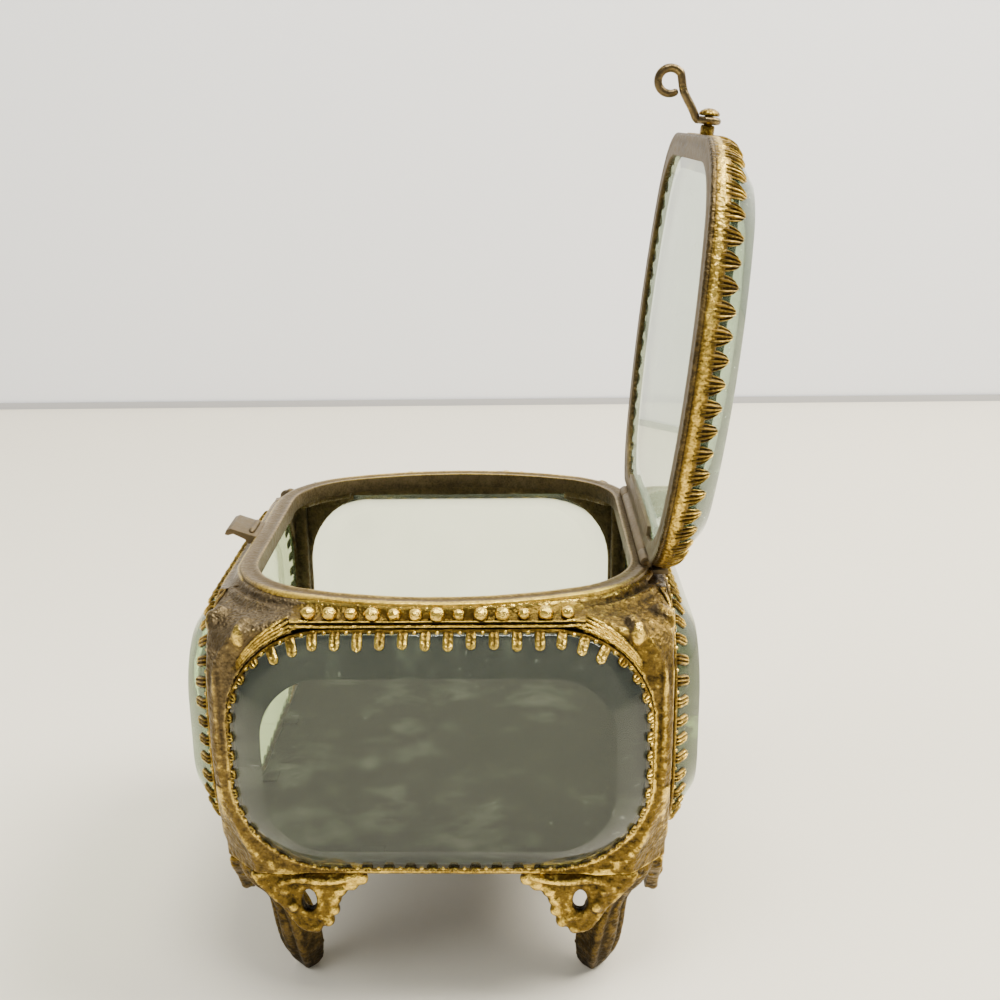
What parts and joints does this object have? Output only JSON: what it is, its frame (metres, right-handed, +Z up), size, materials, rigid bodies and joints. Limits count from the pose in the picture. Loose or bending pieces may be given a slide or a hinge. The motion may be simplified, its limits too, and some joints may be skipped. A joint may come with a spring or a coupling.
{
  "type": "glass casket box",
  "caption": "Small footed casket with bevelled glass panes held by prongs in a gilt frame, a hinged glass lid and a swinging latch hook.",
  "frame": {"origin": "on the ground under the middle of the part as it stands with the lid open: the centre of its bounding box in X and Y, the undersides of the toes in Z", "axes": "+Z up; -X is the latch side, +X is the hinge side; +Y points from the right-hand end to the left-hand end, as seen when facing the latch"},
  "size_m": [0.0934, 0.0946, 0.1558],
  "materials": {
    "gilt": "worn gilding, hammered and beaded",
    "tarnished": "tarnished gilding with dark hollows",
    "brown": "dull, worn to grey-brown",
    "glass": "clear, bevelled, lightly dusty"
  },
  "bodies": {
    "case": {"beaded_rail_front": "gilt", "beaded_rail_back": "gilt", "beaded_rail_right": "gilt", "beaded_rail_left": "gilt", "lower_rail_front": "gilt", "lower_rail_back": "gilt", "lower_rail_right": "gilt", "lower_rail_left": "gilt", "gallery_front": "gilt", "gallery_back": "gilt", "gallery_right": "gilt", "gallery_left": "gilt", "corner_front_right": "tarnished", "corner_front_left": "tarnished", "corner_back_right": "tarnished", "corner_back_left": "tarnished", "foot_front_right": "tarnished", "foot_front_left": "tarnished", "foot_back_right": "tarnished", "foot_back_left": "tarnished", "base_frame": "tarnished", "base_clips": "tarnished", "top_rim": "brown", "hinge_leaf_body": "brown", "hinge_pin": "brown", "catch_tab": "brown", "glass_front": "glass", "glass_back": "glass", "glass_right": "glass", "glass_left": "glass", "glass_base": "glass"},
    "lid": {"lid_frame": "tarnished", "lid_gallery": "gilt", "glass_lid": "glass", "hinge_leaf_lid": "brown", "hook_rivet": "gilt"},
    "hook": {"latch_hook": "brown"}
  },
  "joints": [
    {"name": "lid_hinge", "type": "hinge", "parent": "case", "child": "lid", "pos_m": [0.03144, 0, 0.0747], "axis": [0, 1, 0], "range_deg": [-96.4, 0]},
    {"name": "hook_swivel", "type": "hinge", "parent": "lid", "child": "hook", "pos_m": [0.04143, -0.0073, 0.14674], "axis": [0.1115, 0, 0.9938], "range_deg": [-90, 90]}
  ]
}
